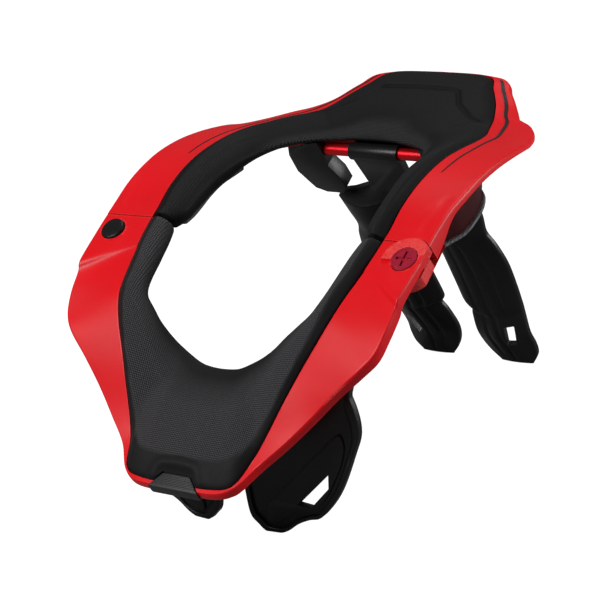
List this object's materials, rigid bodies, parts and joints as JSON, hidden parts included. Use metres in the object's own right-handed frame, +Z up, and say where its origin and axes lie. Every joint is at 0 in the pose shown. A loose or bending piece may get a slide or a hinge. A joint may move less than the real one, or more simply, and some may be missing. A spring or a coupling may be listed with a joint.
{
  "type": "motocross neck brace",
  "caption": "Hard red neck brace with black pads, a front half that swings open at one side, chest lobes, and two rear wings on a cross rod.",
  "frame": {"origin": "middle of the bounding box, on the surface that the brace stands on", "axes": "+X to the wearer's left, +Y to the wearer's back, +Z up, as the brace stands on its chest lobes and rear wings"},
  "size_m": [0.2388, 0.3386, 0.206],
  "materials": {
    "frame_red": "satin moulded red plastic",
    "shell_red": "dark red moulded plastic",
    "pad_black": "moulded black foam with woven texture",
    "foam_grey": "grey textured foam",
    "tab_black": "ribbed black plastic",
    "button_black": "satin black plastic",
    "pin_red": "glossy translucent-looking red",
    "lobe_black": "satin black plastic",
    "bracket_black": "satin black plastic",
    "wing_black": "satin black plastic",
    "rod_red": "red anodised"
  },
  "bodies": {
    "base": {"rear_frame": "frame_red", "tongue_left": "frame_red", "tongue_right": "frame_red", "rear_pad": "pad_black", "pivot_pin": "pin_red", "shoulder_shell_left": "shell_red", "shoulder_shell_right": "shell_red", "shoulder_pad_left": "foam_grey", "shoulder_pad_right": "foam_grey", "rear_bracket": "bracket_black", "red_rod": "rod_red"},
    "front": {"front_frame": "frame_red", "front_pad": "pad_black", "front_tab": "tab_black", "chest_lobe_left": "lobe_black", "chest_lobe_right": "lobe_black"},
    "button": {"latch_button": "button_black"},
    "wings": {"wing_saddle": "bracket_black", "wing_left": "wing_black", "wing_right": "wing_black"}
  },
  "joints": [
    {"name": "front_swing", "type": "hinge", "parent": "base", "child": "front", "pos_m": [0.106, -0.06794, 0.1606], "axis": [0, -0.5446, 0.8387], "range_deg": [0, 60]},
    {"name": "wing_fold", "type": "hinge", "parent": "base", "child": "wings", "pos_m": [0, 0.06953, 0.17475], "axis": [-1, 0, 0], "range_deg": [0, 30]},
    {"name": "latch_press", "type": "slide", "parent": "front", "child": "button", "axis": [0, 0.5446, -0.8387], "range_m": [0, 0.0015], "stiffness_N_per_m": 80, "springref_m": -0.002}
  ]
}
